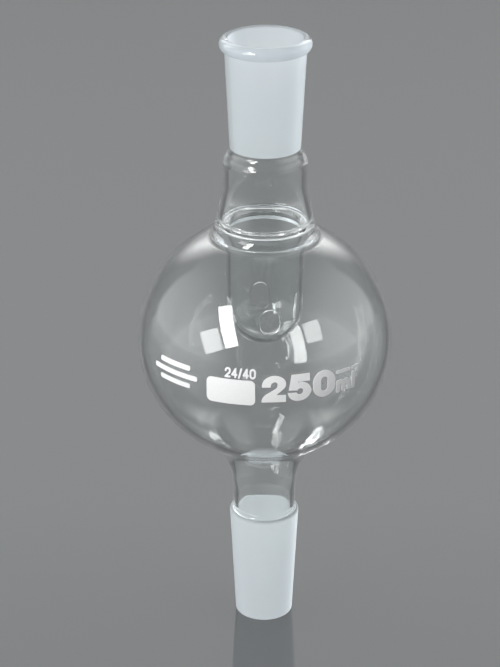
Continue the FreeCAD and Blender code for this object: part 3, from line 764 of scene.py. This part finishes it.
# Where the lamps aim, the floor, and the backdrop's glow: its full height, its strength, the widths
# between which it fades, and what is left of it there. All in metres.
CENTRE = Vector((0.0, 0.0, BULB_LEVEL * MM))
FLOOR_TONE = (0.282, 0.287, 0.293)
FLOOR_ROUGHNESS = 0.04
FLOOR_IOR = 1.5
GLOW_TOP = 1.22
GLOW_STRENGTH = 1.33
GLOW_NARROW, GLOW_WIDE = 0.9, 1.5
GLOW_ASIDE = 0.12

# The camera's place, downward tilt in radians and lens in millimetres, and light paths long enough for glass.
CAMERA_PLACE = (-0.00499, -0.66594, 0.41314)
CAMERA_DOWN = math.radians(24.645)
CAMERA_LENS = 116.59
SENSOR_HEIGHT = 36.0
DEEP_BOUNCES = 48
CLEAR_BOUNCES = 64


def ramp(nodes, links, value, start, end, low, high, smooth=True):
    """A value mapped from start..end to low..high, and held there outside."""
    node = shader(nodes, "ShaderNodeMapRange", {
        "From Min": start, "From Max": end, "To Min": low, "To Max": high})
    if smooth:
        node.interpolation_type = "SMOOTHSTEP"
    links.new(value, node.inputs["Value"])
    return node.outputs[0]


def calculate(nodes, links, operation, *values):
    """The output of one math node."""
    node = nodes.new("ShaderNodeMath")
    node.operation = operation
    for socket, value in zip(node.inputs, values):
        links.new(value, socket)
    return node.outputs[0]


def backdrop_glow(nodes, links):
    """Emission that rises evenly with height from none on the floor, and fades out towards both sides."""
    place = nodes.new("ShaderNodeTexCoord")
    split = nodes.new("ShaderNodeSeparateXYZ")
    links.new(place.outputs["Object"], split.inputs[0])
    rise = ramp(nodes, links, split.outputs["Z"], 0.0, GLOW_TOP, 0.0, GLOW_STRENGTH, smooth=False)
    aside = calculate(nodes, links, "ABSOLUTE", split.outputs["X"])
    fade = ramp(nodes, links, aside, GLOW_NARROW, GLOW_WIDE, 1.0, GLOW_ASIDE)
    return calculate(nodes, links, "MULTIPLY", rise, fade)


def sweep():
    """A glossy floor that curves up into a backdrop, which glows softly towards its top."""
    width, front, back, curve, height = 3.0, -2.2, 1.6, 0.5, 2.4
    line = [(front, 0.0), (back, 0.0)]
    line += [(back + curve * math.sin(math.radians(a)), curve * (1 - math.cos(math.radians(a))))
             for a in range(6, 91, 6)]
    line.append((back + curve, height))
    points = [(x, y, z) for y, z in line for x in (-width, width)]
    faces = [(2 * i, 2 * i + 1, 2 * i + 3, 2 * i + 2) for i in range(len(line) - 1)]
    mesh = bpy.data.meshes.new("floor")
    mesh.from_pydata(points, [], faces)
    mesh.polygons.foreach_set("use_smooth", [True] * len(faces))
    floor = in_scene("floor", mesh)
    material, nodes, links = new_material("grey_floor")
    sheet = shader(nodes, "ShaderNodeBsdfPrincipled", {
        "Base Color": (*FLOOR_TONE, 1.0),
        "Roughness": FLOOR_ROUGHNESS,
        "IOR": FLOOR_IOR,
        "Emission Color": (1.0, 1.0, 1.0, 1.0),
    })
    links.new(backdrop_glow(nodes, links), sheet.inputs["Emission Strength"])
    out = nodes.new("ShaderNodeOutputMaterial")
    links.new(sheet.outputs[0], out.inputs["Surface"])
    mesh.materials.append(material)
    return floor


def studio():
    """A room whose walls are pale on both sides, more so on the right (+X), and dim in front and behind."""
    world = bpy.data.worlds.new("studio")
    world.use_nodes = True
    nodes, links = world.node_tree.nodes, world.node_tree.links
    background = nodes["Background"]
    background.inputs["Color"].default_value = (0.98, 1.0, 1.01, 1.0)
    place = nodes.new("ShaderNodeTexCoord")
    split = nodes.new("ShaderNodeSeparateXYZ")
    links.new(place.outputs["Generated"], split.inputs[0])
    right = ramp(nodes, links, split.outputs["X"], start=0.4, end=1.0, low=0.16, high=1.4)
    left = ramp(nodes, links, split.outputs["X"], start=-1.0, end=-0.4, low=1.3, high=0.0)
    links.new(calculate(nodes, links, "ADD", right, left), background.inputs["Strength"])
    bpy.context.scene.world = world


def outward(azimuth, elevation):
    """Direction from the object to a lamp. Azimuth is from the front (-Y) towards +X, both in degrees."""
    a, e = math.radians(azimuth), math.radians(elevation)
    return Vector((math.sin(a) * math.cos(e), -math.cos(a) * math.cos(e), math.sin(e)))


def softbox(name, azimuth, elevation, distance, wide, high, radiance, tilt, lit):
    """A rectangular lamp that faces the bulb, in degrees and metres, and lights one collection."""
    lamp = bpy.data.lights.new(name, "AREA")
    lamp.shape = "RECTANGLE"
    lamp.size = wide
    lamp.size_y = high
    lamp.energy = radiance * wide * high * math.pi
    holder = in_scene(name, lamp)
    away = outward(azimuth, elevation)
    holder.location = CENTRE + away * distance
    holder.rotation_mode = "QUATERNION"
    holder.rotation_quaternion = Quaternion(away, math.radians(tilt)) @ away.to_track_quat("Z", "Y")
    holder.visible_camera = False
    holder.light_linking.receiver_collection = lit


def soft_panel(name, azimuth, elevation, distance, radius, stretch, radiance, lit):
    """An upright oval of light that faces the bulb and fades out to its edge. It lights one collection."""
    count = 48
    points = [(radius * math.cos(2 * math.pi * i / count), radius * math.sin(2 * math.pi * i / count), 0)
              for i in range(count)]
    mesh = bpy.data.meshes.new(name)
    mesh.from_pydata(points, [], [tuple(range(count))])
    panel = in_scene(name, mesh)
    away = outward(azimuth, elevation)
    panel.location = CENTRE + away * distance
    panel.rotation_mode = "QUATERNION"
    panel.rotation_quaternion = away.to_track_quat("-Z", "Y")
    panel.scale = (1.0, stretch, 1.0)
    material, nodes, links = new_material(name)
    place = nodes.new("ShaderNodeTexCoord")
    reach = nodes.new("ShaderNodeVectorMath")
    reach.operation = "LENGTH"
    links.new(place.outputs["Object"], reach.inputs[0])
    light = nodes.new("ShaderNodeEmission")
    fade = ramp(nodes, links, reach.outputs["Value"], 0.0, radius, radiance, 0.0)
    links.new(fade, light.inputs["Strength"])
    clear = nodes.new("ShaderNodeBsdfTransparent")
    both = nodes.new("ShaderNodeAddShader")
    out = nodes.new("ShaderNodeOutputMaterial")
    links.new(light.outputs[0], both.inputs[0])
    links.new(clear.outputs[0], both.inputs[1])
    links.new(both.outputs[0], out.inputs["Surface"])
    mesh.materials.append(material)
    panel.light_linking.receiver_collection = lit


# The lamps leave out the floor, which the room and its own backdrop light evenly. One more panel lights
# the frosted glass alone.
ALL_BUT_FLOOR = bpy.data.collections.new("all_but_floor")
ALL_BUT_FLOOR.objects.link(sweep())
ALL_BUT_FLOOR.collection_objects[0].light_linking.link_state = "EXCLUDE"
FROSTED = bpy.data.collections.new("frosted")
for piece, _, _ in made:
    if piece.name in FROSTED_PIECES:
        FROSTED.objects.link(piece)

softbox("key", azimuth=-39.6, elevation=30.4, distance=1.9, wide=0.40, high=1.28, radiance=21.0, tilt=29.5,
        lit=ALL_BUT_FLOOR)
softbox("second", azimuth=-50.4, elevation=14.2, distance=2.0, wide=0.60, high=0.68, radiance=6.8, tilt=33.0,
        lit=ALL_BUT_FLOOR)
for name, azimuth, radiance, lit in (
        ("back_right_panel", 151.0, 2.6, ALL_BUT_FLOOR),
        ("back_left_panel", -151.0, 2.6, ALL_BUT_FLOOR),
        ("left_panel", -122.0, 4.6, FROSTED)):
    soft_panel(name, azimuth, elevation=33.0, distance=2.0, radius=0.56, stretch=1.9, radiance=radiance,
               lit=lit)
studio()

camera = bpy.data.cameras.new("camera")
camera.sensor_fit = "VERTICAL"
camera.sensor_height = SENSOR_HEIGHT
camera.lens = CAMERA_LENS
camera.clip_start = 0.01
view = in_scene("camera", camera)
view.location = CAMERA_PLACE
view.rotation_euler = (math.pi / 2 - CAMERA_DOWN, 0.0, 0.0)
bpy.context.scene.camera = view
bpy.context.scene.view_settings.view_transform = "Standard"
cycles = bpy.context.scene.cycles
cycles.max_bounces = DEEP_BOUNCES
cycles.transmission_bounces = DEEP_BOUNCES
cycles.glossy_bounces = DEEP_BOUNCES
cycles.transparent_max_bounces = CLEAR_BOUNCES
